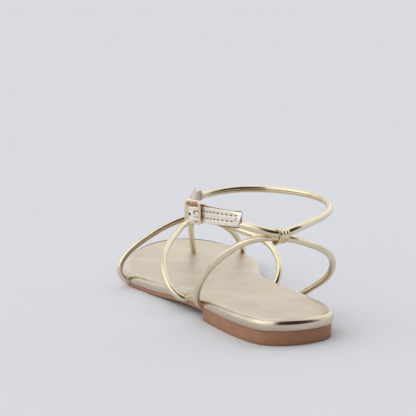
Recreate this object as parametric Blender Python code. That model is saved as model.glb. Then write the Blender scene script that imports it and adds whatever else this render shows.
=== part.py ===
"""Left strappy toe-post sandal, champagne gold, on a flat tan sole.

Frame: +Z up, +Y towards the toe, +X towards the inner (medial) side of the left foot.
The origin is on the floor under the middle of the heel. The tables below are in
millimetres, and every object is built in metres.
"""
import bpy
import bmesh
from math import atan2, cos, pi, sin, sqrt
from mathutils import Vector

MM = 0.001
GAP = 0.3
WELD = 1e-6
SHARP_ANGLE = 0.7

# Sole heights
HEEL_UNDERSIDE = 5.1
HEEL_BREAST_Y = 36.0
ARCH_START_Y = 35.0
FOREFOOT_START_Y = 120.0
TOE_SPRING_START_Y = 155.0
TOE_SPRING_LENGTH = 65.0
TOE_SPRING = 4.1
OUTSOLE_THICKNESS = 2.6
FOOTBED_THICKNESS = 5.9
SOLE_INSET = 1.2
FOOTBED_EDGE_INSET = 1.6
PROFILE_STEPS = 10
CUTTER_DEPTH = 2.0
SOLE_REACH = 60.0
OUTLINE_STEPS = 4

# Straps and metal
STRAP_STEP = 4.5
STRAP_RADIUS = 1.85
POST_RADIUS = 1.8
TUCK_RADIUS = 1.15
TUCK_LENGTH = 12.0
SEAT_LENGTH = 26.0
ANKLE_FRONT_RADIUS = 2.2
ANKLE_END_RADIUS = 0.7
ANKLE_END_LENGTH = 10.0
ANKLE_SWELL_START_Y = -15.0
ANKLE_SWELL_LENGTH = 50.0
POST_HOLE_DEPTH = 1.5
POST_HOLE_TOP = 18.0
MOUTH_DEPTH = 5.8
MOUTH_GAP = 0.4
MOUTH_SPARE = 1.5
MOUTH_CORNER = 1.2
BAND_WALL = 0.9
BAR_RADIUS = 0.75
CENTRE_BAR_RADIUS = 0.6
PIN_RADIUS = 0.45
PIN_BEND = 0.8
PIN_OVERHANG = 1.2
PIN_SAG = 0.1
LEATHER = 0.7
TAB_THICKNESS = 2 * LEATHER
TAB_HALF_HEIGHT = 4.4
TIP_ROUNDING = 4.0
STRAP_TAB_STEP = 1.5
STRAP_TAB_RISE = 1.1
STRAP_TAB_RISE_LENGTH = 16.0
BUCKLE_TAB_STEP = 1.8
BUCKLE_TAB_HALF_HEIGHT = 4.2
BUCKLE_TAB_RISE = 1.9
BUCKLE_TAB_NARROWING = 0.7
FREE_HOLE_ALONG = 2.9
FREE_HOLE_RADIUS = 0.75
FREE_HOLE_REACH = (-3.0, 4.0)
PIN_SLOT_LENGTH = 6.0
PIN_SLOT_MIDDLE = -0.4

# Edge of the footbed seen from above, from the heel's back to the toe: x, y
HEEL_BACK = (0.5, -30.0)
LATERAL_EDGE = [(-17.5, -24.3), (-25.5, -5.0), (-29.5, 20.5), (-32.5, 51.0), (-36.5, 81.0),
                (-42.7, 111.5), (-47.8, 136.2), (-42.3, 161.8), (-30.7, 189.8), (-13.3, 209.7)]
TOE_TIP = (9.5, 217.6)
MEDIAL_EDGE = [(20.6, -22.8), (28.1, -5.8), (26.7, 19.1), (24.1, 49.4), (25.3, 80.0),
               (30.3, 108.7), (39.2, 136.0), (43.2, 161.0), (41.2, 188.2), (29.4, 208.9)]

# Strap centre lines: x, y, z
FRONT_ROUTE = [(-39.5, 132.0, 2.8), (-46.0, 132.0, 3.0), (-50.5, 131.7, 5.4), (-53.0, 131.5, 9.6),
               (-52.6, 132.0, 13.8), (-49.0, 132.5, 19.2), (-42.9, 133.0, 24.6),
               (-33.8, 133.5, 30.3), (-23.5, 134.0, 35.6), (-12.5, 134.5, 39.5),
               (-4.0, 135.0, 40.9), (3.5, 136.0, 38.9), (12.3, 139.0, 35.6),
               (20.9, 145.0, 30.7), (28.1, 152.5, 24.7), (34.6, 162.0, 17.6),
               (40.5, 173.5, 11.2), (42.6, 179.0, 6.6), (39.5, 181.5, 3.9), (33.0, 182.0, 3.3)]
MIDDLE_ROUTE = [(-23.5, 58.5, 6.9), (-30.0, 58.0, 6.9), (-34.3, 58.5, 7.4), (-37.6, 60.5, 9.4),
                (-40.4, 64.0, 13.3), (-41.4, 70.0, 18.5), (-40.6, 77.0, 23.7), (-37.7, 85.0, 29.1),
                (-32.1, 94.0, 33.2), (-23.9, 107.5, 36.0), (-16.5, 120.0, 37.9),
                (-9.2, 129.2, 38.8), (-4.0, 132.0, 39.7), (1.5, 131.3, 39.4),
                (6.8, 127.0, 38.1), (12.5, 119.5, 36.8), (19.6, 112.0, 34.3), (25.4, 105.0, 32.2),
                (30.3, 98.0, 29.1), (32.5, 91.0, 24.8), (32.6, 84.0, 19.7), (30.6, 78.5, 14.5),
                (27.3, 74.8, 9.6), (24.3, 73.6, 6.5), (20.0, 73.3, 5.7), (15.5, 73.3, 5.6)]
HEEL_ROUTE = [(-20.5, 39.3, 7.8), (-26.5, 38.3, 7.8), (-31.2, 36.8, 8.3), (-34.0, 34.0, 12.0),
              (-35.9, 26.5, 18.7), (-36.2, 20.0, 24.7), (-35.7, 14.0, 30.0), (-35.0, 6.0, 35.8),
              (-33.0, -2.0, 41.6), (-29.0, -8.3, 47.0), (-23.8, -13.6, 51.6), (-17.7, -18.0, 54.3),
              (-11.6, -20.6, 55.0), (-6.2, -21.1, 54.6), (-0.5, -21.0, 53.8), (4.5, -19.5, 52.2),
              (11.0, -16.5, 49.7), (19.2, -11.0, 46.1), (27.2, -3.5, 41.3), (32.7, 4.0, 36.1),
              (35.8, 11.5, 29.8), (36.2, 19.0, 23.5), (34.2, 27.5, 18.0), (30.8, 33.5, 13.7),
              (27.2, 37.3, 9.8), (23.0, 38.8, 8.0), (17.0, 39.3, 7.8)]
POST_ROUTE = [(9.6, 183.0, 3.9), (9.6, 183.0, 9.2), (8.3, 180.0, 13.5), (5.8, 173.5, 18.8),
              (2.4, 164.0, 25.2), (-0.9, 153.0, 31.8), (-2.6, 143.5, 36.9), (-3.4, 137.5, 39.6)]
ANKLE_ROUTE = [(-29.3, -14.3, 64.0), (-27.3, -15.5, 63.5), (-24.6, -17.3, 62.4),
               (-19.6, -20.6, 60.3), (-13.2, -23.8, 58.0), (-6.8, -24.5, 56.9),
               (0.6, -23.6, 59.2), (9.6, -18.6, 60.9), (19.0, -11.0, 62.0), (27.5, -1.0, 62.9),
               (33.6, 11.0, 64.2), (36.2, 24.0, 65.2), (34.3, 35.0, 66.4), (28.7, 45.0, 67.2),
               (21.0, 53.0, 67.7), (10.9, 58.0, 68.1), (-0.4, 60.0, 68.2), (-11.3, 59.0, 67.7),
               (-20.0, 56.2, 67.0), (-23.6, 54.6, 66.7), (-27.0, 52.4, 66.5)]

# The two tabs seen from above, from their mouths: x, y
STRAP_TAB_REAR = [(-25.6, -16.6), (-30.6, -13.2), (-35.6, -8.2), (-38.7, -1.5)]
STRAP_TAB_TIP = [(-44.0, 19.0), (-44.0, 21.8)]
BUCKLE_TAB_ROUTE = [(-23.6, 54.6), (-27.0, 52.4), (-29.2, 49.2), (-31.5, 43.5), (-34.9, 34.0),
                    (-38.6, 24.5)]

# Buckle, fastened on the outer side of the ankle: its plan and its bars
BUCKLE_CENTRE = Vector((-43.4, 9.9, 64.9))
BUCKLE_ALONG = Vector((-0.345, 0.939, 0.0)).normalized()
BUCKLE_OUT = Vector((-0.939, -0.345, 0.0)).normalized()
FRAME_HALF_LENGTH = 5.8
FRAME_HALF_HEIGHT = 5.5
FRAME_CORNER = 1.4
FRAME_BOW = 1.2
FRAME_SIDE_SPOTS = (-2.2, 0.0, 2.2)
STRAP_DEPTH_AT_BARS = BAR_RADIUS + 0.45 + TAB_THICKNESS / 2
EYE_STEPS = 10
EYE_INNER_RADIUS = CENTRE_BAR_RADIUS + 0.25
EYE_RADIUS = EYE_INNER_RADIUS + LEATHER
PIN_HOOK_RADIUS = CENTRE_BAR_RADIUS + 0.2 + PIN_RADIUS
STRAP_RISE_AT_CENTRE = PIN_HOOK_RADIUS + PIN_RADIUS + GAP + TAB_THICKNESS / 2 - FRAME_BOW

# Gathered bands: middle, direction across both straps, spread of the straps, half width
CROSSING = Vector((-3.6, 133.5, 40.2))
CROSSING_ACROSS = Vector((0, 3.1, 1.1))
CROSSING_SPREAD = 1.6
CROSSING_HALF_WIDTH = 4.0
CROSSING_REACH_X = (-22.0, 16.0)
CROSSING_REACH_Y = 140.0
LOOP = Vector((-6.4, -22.8, 55.8))
LOOP_ACROSS = Vector((0, -3.4, 2.3))
LOOP_SPREAD = 2.05
LOOP_HALF_WIDTH = 3.8
LOOP_REACH_Y = -10.0
BAND_SIDES = 16
BAND_PROFILE = [(-1.0, 0.86), (-0.8, 1.0), (0.0, 1.03), (0.8, 1.0), (1.0, 0.86)]

COLOURS = {
    "gold_leather": ((0.66, 0.60, 0.49), 0.28, 0.85),
    "gold_footbed": ((0.62, 0.57, 0.49), 0.42, 0.6),
    "tan_sole": ((0.40, 0.20, 0.12), 0.55, 0.0),
    "rose_gold_metal": ((0.86, 0.62, 0.46), 0.2, 1.0),
}


def plan_point(along, out, z=0.0):
    """A point given by its distance from the buckle's middle, along the strap and outwards."""
    return BUCKLE_CENTRE + BUCKLE_ALONG * along + BUCKLE_OUT * out + Vector((0, 0, z))


def make_material(name):
    colour, roughness, metallic = COLOURS[name]
    material = bpy.data.materials.new(name)
    material.use_nodes = True
    shader = material.node_tree.nodes["Principled BSDF"]
    shader.inputs["Base Color"].default_value = (*colour, 1.0)
    shader.inputs["Roughness"].default_value = roughness
    shader.inputs["Metallic"].default_value = metallic
    return material


def new_collection(name):
    collection = bpy.data.collections.new(name)
    bpy.context.scene.collection.children.link(collection)
    return collection


def catmull(a, b, c, d, t):
    """One point of the smooth curve from b to c, with a before and d after them."""
    return 0.5 * (2 * b + (c - a) * t + (2 * a - 5 * b + 4 * c - d) * t ** 2
                  + (3 * b - a - 3 * c + d) * t ** 3)


def open_curve(points, step):
    """Points about a step apart along a smooth curve through the given ones."""
    given = [Vector(point) for point in points]
    ends = [2 * given[0] - given[1]] + given + [2 * given[-1] - given[-2]]
    result = []
    for index in range(1, len(ends) - 2):
        a, b, c, d = ends[index - 1:index + 3]
        count = max(1, round((c - b).length / step))
        result += [catmull(a, b, c, d, k / count) for k in range(count)]
    return result + [given[-1]]


def closed_curve(points, steps):
    """A smooth closed curve through the given points, with equal steps in each span."""
    given = [Vector(point) for point in points]
    count = len(given)
    result = []
    for index in range(count):
        a, b, c, d = (given[(index + k) % count] for k in (-1, 0, 1, 2))
        result += [catmull(a, b, c, d, k / steps) for k in range(steps)]
    return result


def smooth_step(value):
    value = min(max(value, 0.0), 1.0)
    return value * value * (3 - 2 * value)


def underside_height(y):
    """Height of the outsole's underside: level at the heel, an arch, the tread, the toe spring."""
    fall = smooth_step((y - ARCH_START_Y) / (FOREFOOT_START_Y - ARCH_START_Y))
    spring = max(y - TOE_SPRING_START_Y, 0.0) / TOE_SPRING_LENGTH
    return HEEL_UNDERSIDE * (1 - fall) + TOE_SPRING * spring ** 2


def inset(outline, distance):
    """The outline moved inwards, where the outline runs clockwise seen from above."""
    count = len(outline)
    result = []
    for index, point in enumerate(outline):
        run = (outline[(index + 1) % count] - outline[index - 1]).normalized()
        result.append(point + Vector((run.y, -run.x)) * distance)
    return result


def outline_points():
    corners = [HEEL_BACK] + LATERAL_EDGE + [TOE_TIP] + MEDIAL_EDGE[::-1]
    return closed_curve(corners, OUTLINE_STEPS)


def add_mesh(name, bm, collection, material):
    mesh = bpy.data.meshes.new(name)
    bmesh.ops.recalc_face_normals(bm, faces=bm.faces)
    bm.to_mesh(mesh)
    bm.free()
    mesh.shade_smooth()
    mesh.set_sharp_from_angle(angle=SHARP_ANGLE)
    solid = bpy.data.objects.new(name, mesh)
    collection.objects.link(solid)
    if material:
        mesh.materials.append(material)
    return solid


def loft_rings(name, rings, collection, material):
    """A closed form through rings of the sole's outline, capped by strips across it."""
    bm = bmesh.new()
    count = len(rings[0])
    levels = [[bm.verts.new(point * MM) for point in ring] for ring in rings]
    for low, high in zip(levels, levels[1:]):
        for k in range(count):
            nxt = (k + 1) % count
            bm.faces.new((low[k], low[nxt], high[nxt], high[k]))
    for level in (levels[0], levels[-1]):
        for k in range(count // 2):
            across = [level[k], level[k + 1], level[(count - k - 1) % count], level[-k]]
            bm.faces.new(list(dict.fromkeys(across)))
    return add_mesh(name, bm, collection, material)


def tube_curve(name, points, radii, collection, material=None, cyclic=False, resolution=2):
    """A round tube along points in millimetres, with its own radius at each."""
    curve = bpy.data.curves.new(name, "CURVE")
    curve.dimensions = "3D"
    curve.bevel_depth = MM
    curve.bevel_resolution = resolution
    curve.use_fill_caps = True
    spline = curve.splines.new("POLY")
    spline.points.add(len(points) - 1)
    spline.use_cyclic_u = cyclic
    for spot, point, radius in zip(spline.points, points, radii):
        spot.co = (*(point * MM), 1.0)
        spot.radius = radius
    tube = bpy.data.objects.new(name, curve)
    collection.objects.link(tube)
    if material:
        curve.materials.append(material)
    return tube


def as_mesh(curve_object, material=None):
    """The same form as a mesh with welded caps, in place of the curve."""
    bpy.context.view_layer.update()
    graph = bpy.context.evaluated_depsgraph_get()
    mesh = bpy.data.meshes.new_from_object(curve_object.evaluated_get(graph))
    bm = bmesh.new()
    bm.from_mesh(mesh)
    bmesh.ops.remove_doubles(bm, verts=bm.verts, dist=WELD)
    bmesh.ops.recalc_face_normals(bm, faces=bm.faces)
    bm.to_mesh(mesh)
    bm.free()
    name = curve_object.name
    collection = curve_object.users_collection[0]
    matrix = curve_object.matrix_world.copy()
    bpy.data.objects.remove(curve_object)
    solid = bpy.data.objects.new(name, mesh)
    solid.matrix_world = matrix
    collection.objects.link(solid)
    if material and not mesh.materials:
        mesh.materials.append(material)
    mesh.shade_smooth()
    mesh.set_sharp_from_angle(angle=SHARP_ANGLE)
    return solid


def cut(target, cutter, operation="DIFFERENCE"):
    modifier = target.modifiers.new(cutter.name, "BOOLEAN")
    modifier.operation = operation
    modifier.solver = "EXACT"
    modifier.object = cutter
    cutter.hide_render = True
    cutter.display_type = "WIRE"


def lengths_along(points):
    travelled = [0.0]
    for a, b in zip(points, points[1:]):
        travelled.append(travelled[-1] + (b - a).length)
    return travelled


def strap_radii(points, full, end, end_length):
    """Full thickness along the strap, pressed thinner over a length at both ends."""
    travelled = lengths_along(points)
    radii = []
    for distance in travelled:
        from_end = min(distance, travelled[-1] - distance)
        radii.append(end + (full - end) * smooth_step(from_end / end_length))
    return radii


def ankle_radii(points):
    """The ankle strap is a little thicker at the front of the ankle than at its loop."""
    radii = strap_radii(points, STRAP_RADIUS, ANKLE_END_RADIUS, ANKLE_END_LENGTH)
    swell = ANKLE_FRONT_RADIUS / STRAP_RADIUS - 1
    return [radius * (1 + swell * smooth_step((point.y - ANKLE_SWELL_START_Y) / ANKLE_SWELL_LENGTH))
            for radius, point in zip(radii, points)]


def tuck_cutters(name, points, radii, cutters):
    """Fat copies of a strap's two ends, which open its seats in the footbed and the sole."""
    seats = []
    for side, (run, thin) in enumerate(((points, radii), (points[::-1], radii[::-1]))):
        travelled = lengths_along(run)
        count = sum(distance <= SEAT_LENGTH for distance in travelled)
        beyond = (run[0] - run[1]).normalized() * 2 * GAP
        seat = [run[0] + beyond] + run[1:count]
        fat = [radius + GAP for radius in thin[:count]]
        seats.append(as_mesh(tube_curve(f"{name}_seat_{side}", seat, fat, cutters)))
    return seats


def barrel(name, centre, across, half_length, reach, side_reach, collection, material):
    """A gathered leather band: an oval barrel along X, longest in the direction across."""
    other = Vector((0, -across.z, across.y))
    bm = bmesh.new()
    rings = []
    for offset, swell in BAND_PROFILE:
        ring = []
        for k in range(BAND_SIDES):
            angle = 2 * pi * k / BAND_SIDES
            point = centre + Vector((offset * half_length, 0, 0))
            point = point + (across * reach * cos(angle) + other * side_reach * sin(angle)) * swell
            ring.append(bm.verts.new(point * MM))
        rings.append(ring)
    for low, high in zip(rings, rings[1:]):
        for k in range(BAND_SIDES):
            nxt = (k + 1) % BAND_SIDES
            bm.faces.new((low[k], low[nxt], high[nxt], high[k]))
    bm.faces.new(rings[0])
    bm.faces.new(rings[-1])
    return add_mesh(name, bm, collection, material)


def standing_band(name, outlines, heights, collection, material):
    """A leather band on edge: its plan outlines extruded upwards, then fitted to its height.

    heights gives the middle height and the half height of the band at a plan point.
    """
    curve = bpy.data.curves.new(name, "CURVE")
    curve.dimensions = "2D"
    curve.fill_mode = "BOTH"
    curve.extrude = MM
    for outline in outlines:
        spline = curve.splines.new("POLY")
        spline.points.add(len(outline) - 1)
        spline.use_cyclic_u = True
        for spot, point in zip(spline.points, outline):
            spot.co = (point.x * MM, point.y * MM, 0.0, 1.0)
    band = bpy.data.objects.new(name, curve)
    collection.objects.link(band)
    solid = as_mesh(band, material)
    for vertex in solid.data.vertices:
        middle, half = heights(vertex.co.x / MM, vertex.co.y / MM)
        vertex.co.z = (middle + (half if vertex.co.z > 0 else -half)) * MM
    return solid


def box_cutter(name, centre, size, collection):
    """A box cutter turned along the buckle."""
    bm = bmesh.new()
    bmesh.ops.create_cube(bm, size=MM)
    bmesh.ops.scale(bm, verts=bm.verts, vec=Vector(size))
    box = add_mesh(name, bm, collection, None)
    box.location = centre * MM
    box.rotation_euler.z = atan2(BUCKLE_ALONG.y, BUCKLE_ALONG.x)
    return box


def build_sole(parts, cutters, material):
    """Moulded outsole and low heel in one: a block shaped to the underside by two cutters."""
    outline = inset(outline_points(), SOLE_INSET)
    bottom = [point.to_3d() for point in outline]
    top = [Vector((p.x, p.y, underside_height(p.y) + OUTSOLE_THICKNESS - GAP / 2)) for p in outline]
    sole = loft_rings("unit_sole", [bottom, top], parts, material)
    arch_length = FOREFOOT_START_Y - 1.0 - HEEL_BREAST_Y
    arch_ys = [HEEL_BREAST_Y + arch_length * k / PROFILE_STEPS for k in range(PROFILE_STEPS + 1)]
    toe_ys = [TOE_SPRING_START_Y + TOE_SPRING_LENGTH * k / PROFILE_STEPS
              for k in range(PROFILE_STEPS + 1)]
    arch = [(HEEL_BREAST_Y, -CUTTER_DEPTH)] + [(y, underside_height(y)) for y in arch_ys]
    arch.append((FOREFOOT_START_Y, -CUTTER_DEPTH))
    toe = [(TOE_SPRING_START_Y, -CUTTER_DEPTH)] + [(y, underside_height(y)) for y in toe_ys[1:]]
    toe.append((toe_ys[-1], -CUTTER_DEPTH))
    for name, profile in (("arch_space", arch), ("toe_space", toe)):
        bm = bmesh.new()
        side = [bm.verts.new(Vector((-SOLE_REACH, y, z)) * MM) for y, z in profile]
        face = bm.faces.new(side)
        swept = bmesh.ops.extrude_face_region(bm, geom=[face])
        moved = [item for item in swept["geom"] if isinstance(item, bmesh.types.BMVert)]
        bmesh.ops.translate(bm, verts=moved, vec=Vector((2 * SOLE_REACH, 0, 0)) * MM)
        cut(sole, add_mesh(name, bm, cutters, None))
    return sole


def build_footbed(parts, material):
    """Padded footbed whose covered edge is rolled half round."""
    outline = outline_points()
    half = FOOTBED_THICKNESS / 2
    rings = []
    for quarter in range(-2, 3):
        angle = quarter * pi / 4
        distance = FOOTBED_EDGE_INSET * (1 - cos(angle))
        lift = OUTSOLE_THICKNESS + half + half * sin(angle)
        if quarter == -2:
            lift += GAP / 2
        ring = inset(outline, distance)
        rings.append([Vector((p.x, p.y, underside_height(p.y) + lift)) for p in ring])
    return loft_rings("footbed", rings, parts, material)


def build_instep(parts, cutters, material):
    """Front and middle straps, one piece where they meet over the instep."""
    front = open_curve(FRONT_ROUTE, STRAP_STEP)
    middle = open_curve(MIDDLE_ROUTE, STRAP_STEP)
    front_radii = strap_radii(front, STRAP_RADIUS, TUCK_RADIUS, TUCK_LENGTH)
    middle_radii = strap_radii(middle, STRAP_RADIUS, TUCK_RADIUS, TUCK_LENGTH)
    straps = as_mesh(tube_curve("instep_straps", front, front_radii, parts, material))
    joined = as_mesh(tube_curve("middle_strap_form", middle, middle_radii, cutters))
    cut(straps, joined, "UNION")
    seats = tuck_cutters("front", front, front_radii, cutters)
    seats += tuck_cutters("middle", middle, middle_radii, cutters)
    return {"front": (front, front_radii), "middle": (middle, middle_radii)}, seats


def through_cutter(name, points, radii, cutters):
    """A clearance tube round the stretch of a strap that runs through the toe post's band."""
    low, high = CROSSING_REACH_X
    near = [k for k, point in enumerate(points)
            if low <= point.x <= high and point.y < CROSSING_REACH_Y]
    run = [points[k] for k in near]
    fat = [radii[k] + GAP for k in near]
    return as_mesh(tube_curve(name, run, fat, cutters, resolution=3))


def build_toe_post(straps, parts, cutters, material):
    """Toe post whose leather goes on round the crossing as a gathered band."""
    across = CROSSING_ACROSS.normalized()
    reach = CROSSING_SPREAD + STRAP_RADIUS + GAP + BAND_WALL
    band = barrel("toe_post", CROSSING, across, CROSSING_HALF_WIDTH, reach,
                  reach - CROSSING_SPREAD, parts, material)
    route = open_curve(POST_ROUTE, STRAP_STEP)
    post = as_mesh(tube_curve("post_form", route, [POST_RADIUS] * len(route), cutters))
    cut(band, post, "UNION")
    for name, (points, radii) in straps.items():
        cut(band, through_cutter(f"{name}_through", points, radii, cutters))
    foot = Vector(POST_ROUTE[0])
    hole = [foot - Vector((0, 0, POST_HOLE_DEPTH))]
    hole += [point for point in route[1:] if point.z < POST_HOLE_TOP]
    return as_mesh(tube_curve("post_hole", hole, [POST_RADIUS + GAP] * len(hole), cutters,
                              resolution=3))


def build_heel(parts, cutters, material):
    """Heel strap, ankle strap, and the gathered band that ties them at the back."""
    heel = open_curve(HEEL_ROUTE, STRAP_STEP)
    heel_radii = strap_radii(heel, STRAP_RADIUS, TUCK_RADIUS, TUCK_LENGTH)
    tube_curve("heel_strap", heel, heel_radii, parts, material)
    ankle = open_curve(ANKLE_ROUTE, STRAP_STEP)
    tube_curve("ankle_strap", ankle, ankle_radii(ankle), parts, material)
    reach = LOOP_SPREAD + STRAP_RADIUS + GAP + BAND_WALL
    band = barrel("heel_loop", LOOP, LOOP_ACROSS.normalized(), LOOP_HALF_WIDTH, reach,
                  reach - LOOP_SPREAD, parts, material)
    for name, points in (("heel", heel), ("ankle", ankle)):
        behind = [point for point in points if point.y < LOOP_REACH_Y]
        radii = [STRAP_RADIUS + GAP] * len(behind)
        cut(band, as_mesh(tube_curve(f"{name}_through", behind, radii, cutters, resolution=3)))
    return tuck_cutters("heel", heel, heel_radii, cutters)


def build_frame(parts, cutters, material):
    """Arched buckle frame with a centre bar."""
    loop = []
    half_length, half_height, corner = FRAME_HALF_LENGTH, FRAME_HALF_HEIGHT, FRAME_CORNER
    for index, (side, end) in enumerate(((-1, -1), (1, -1), (1, 1), (-1, 1))):
        for k in range(3):
            angle = pi + pi / 2 * index + pi / 4 * k
            loop.append((side * (half_length - corner) + corner * cos(angle),
                         end * (half_height - corner) + corner * sin(angle)))
        if side * end > 0:
            loop += [(along * -end, end * half_height) for along in FRAME_SIDE_SPOTS]
    bowed = [plan_point(along, -FRAME_BOW * (1 - (along / half_length) ** 2), z)
             for along, z in loop]
    frame = as_mesh(tube_curve("buckle_frame", bowed, [BAR_RADIUS] * len(bowed), parts,
                               material, cyclic=True))
    ends = [plan_point(0.0, -FRAME_BOW, end * half_height) for end in (-1, 1)]
    bar = tube_curve("centre_bar_form", ends, [CENTRE_BAR_RADIUS] * 2, cutters, resolution=3)
    cut(frame, as_mesh(bar), "UNION")


def pin_route():
    """The pin hooks round the centre bar and rests on the rear bar of the frame."""
    route = []
    for k in range(7):
        angle = -5 * pi / 6 + 4 * pi / 3 * k / 6
        route.append(plan_point(PIN_HOOK_RADIUS * cos(angle),
                                -FRAME_BOW + PIN_HOOK_RADIUS * sin(angle)))
    rest = BAR_RADIUS + GAP + PIN_RADIUS
    route.append(plan_point(-FRAME_HALF_LENGTH + PIN_BEND, rest - PIN_SAG))
    route.append(plan_point(-FRAME_HALF_LENGTH - PIN_OVERHANG, rest))
    return route


def mouth_width(depth, swell):
    """Half the opening of a tab's mouth, at a depth inside it, round the strap's pressed end."""
    if depth > MOUTH_DEPTH:
        return 0.0
    outside = max(MOUTH_DEPTH - MOUTH_SPARE - depth, 0.0) / ANKLE_END_LENGTH
    radius = ANKLE_END_RADIUS + (STRAP_RADIUS - ANKLE_END_RADIUS) * smooth_step(outside)
    return (radius * swell + MOUTH_GAP) * min((MOUTH_DEPTH - depth) / MOUTH_CORNER, 1.0)


def band_sides(path, swell):
    """Both faces of a tab, and the inside of its mouth at the path's first point."""
    travelled = lengths_along(path)
    left, right, mouth_left, mouth_right = [], [], [], []
    for index, point in enumerate(path):
        before = path[max(index - 1, 0)]
        after = path[min(index + 1, len(path) - 1)]
        run = (after - before).normalized()
        normal = Vector((run.y, -run.x))
        opening = mouth_width(travelled[index], swell)
        left.append(point - normal * (opening + LEATHER))
        right.append(point + normal * (opening + LEATHER))
        if opening > 0:
            mouth_left.append(point - normal * opening)
            mouth_right.append(point + normal * opening)
    corner = [path[len(mouth_left)]]
    return left, right, mouth_right + corner + mouth_left[::-1]


def build_strap_tab(parts, cutters, gold, pin):
    """Two-layer tab: under the rear bar, over the centre bar and under the front bar."""
    under = -STRAP_DEPTH_AT_BARS
    over = STRAP_RISE_AT_CENTRE
    middle_rise = (under + over) / 2
    at_buckle = [(-FRAME_HALF_LENGTH, under), (-FRAME_HALF_LENGTH / 2, middle_rise), (0.0, over),
                 (FRAME_HALF_LENGTH / 2, middle_rise), (FRAME_HALF_LENGTH, under)]
    corners = [Vector(point) for point in STRAP_TAB_REAR]
    corners += [plan_point(along, out).to_2d() for along, out in at_buckle]
    corners += [Vector(point) for point in STRAP_TAB_TIP]
    path = open_curve(corners, STRAP_TAB_STEP)
    left, right, mouth = band_sides(path, 1.0)
    tip = path[-1].y

    def heights(x, y):
        along = (y - STRAP_TAB_REAR[0][1]) / STRAP_TAB_RISE_LENGTH
        rise = STRAP_TAB_RISE * (smooth_step(along) - 1)
        from_tip = max(tip - y, 0.0)
        rounding = sqrt(min(from_tip / TIP_ROUNDING, 1.0))
        return BUCKLE_CENTRE.z + rise, TAB_HALF_HEIGHT * (0.5 + 0.5 * rounding)

    tab = standing_band("strap_tab", [left + right[::-1] + mouth], heights, parts, gold)
    fat_pin = tube_curve("pin_hole", pin, [PIN_RADIUS + GAP] * len(pin), cutters)
    cut(tab, as_mesh(fat_pin))
    ends = [plan_point(FREE_HOLE_ALONG, out) for out in FREE_HOLE_REACH]
    hole = tube_curve("free_hole", ends, [FREE_HOLE_RADIUS] * 2, cutters, resolution=3)
    cut(tab, as_mesh(hole))


def build_buckle_tab(parts, cutters, gold):
    """Tab folded round the centre bar, which holds the other end of the ankle strap."""
    eye = plan_point(0.0, -FRAME_BOW).to_2d()
    below_bar = plan_point(FRAME_HALF_LENGTH, -STRAP_DEPTH_AT_BARS - TAB_THICKNESS - GAP).to_2d()
    body = [Vector(point) for point in BUCKLE_TAB_ROUTE] + [below_bar]
    neck = eye + (below_bar - eye).normalized() * EYE_RADIUS
    path = open_curve(body + [neck], BUCKLE_TAB_STEP)
    left, right, mouth = band_sides(path, ANKLE_FRONT_RADIUS / STRAP_RADIUS)
    start = left[-1] - eye
    finish = right[-1] - eye
    turn = 2 * pi - abs(start.angle_signed(finish))
    first = atan2(start.y, start.x)
    sense = 1 if start.angle_signed(finish) > 0 else -1
    angles = [first + sense * turn * k / EYE_STEPS for k in range(1, EYE_STEPS)]
    round_eye = [eye + Vector((cos(angle), sin(angle))) * EYE_RADIUS for angle in angles]
    outer = left + round_eye + right[::-1] + mouth
    bar_angles = [2 * pi * k / EYE_STEPS for k in range(EYE_STEPS)]
    bar_hole = [eye + Vector((cos(angle), sin(angle))) * EYE_INNER_RADIUS for angle in bar_angles]
    far = BUCKLE_TAB_ROUTE[0][1]

    def heights(x, y):
        along = smooth_step((y - BUCKLE_CENTRE.y) / (far - BUCKLE_CENTRE.y))
        half = BUCKLE_TAB_HALF_HEIGHT - BUCKLE_TAB_NARROWING * along ** 3
        return BUCKLE_CENTRE.z + BUCKLE_TAB_RISE * along, half

    tab = standing_band("buckle_tab", [outer, bar_hole], heights, parts, gold)
    slot_size = (PIN_SLOT_LENGTH, PIN_SLOT_LENGTH, 2 * (PIN_RADIUS + GAP))
    slot_middle = plan_point(PIN_SLOT_MIDDLE, -FRAME_BOW)
    cut(tab, box_cutter("pin_slot", slot_middle, slot_size, cutters))


def main():
    for leftover in list(bpy.data.objects):
        bpy.data.objects.remove(leftover)
    parts = new_collection("sandal")
    cutters = new_collection("cutters")
    gold = make_material("gold_leather")
    footbed_gold = make_material("gold_footbed")
    tan = make_material("tan_sole")
    metal = make_material("rose_gold_metal")
    sole = build_sole(parts, cutters, tan)
    footbed = build_footbed(parts, footbed_gold)
    straps, seats = build_instep(parts, cutters, gold)
    seats += build_heel(parts, cutters, gold)
    for seat in seats:
        cut(sole, seat)
        cut(footbed, seat)
    hole = build_toe_post(straps, parts, cutters, gold)
    cut(footbed, hole)
    pin = pin_route()
    build_frame(parts, cutters, metal)
    tube_curve("buckle_pin", pin, [PIN_RADIUS] * len(pin), parts, metal)
    build_strap_tab(parts, cutters, gold, pin)
    build_buckle_tab(parts, cutters, gold)


main()
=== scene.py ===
"""Dressed model of a left strappy toe-post sandal in champagne gold leather on a tan sole.

+Z is up, +Y runs to the toe and +X to the inner side of the foot. Tables are in millimetres.
"""

from math import cos, pi, radians, sin

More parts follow.
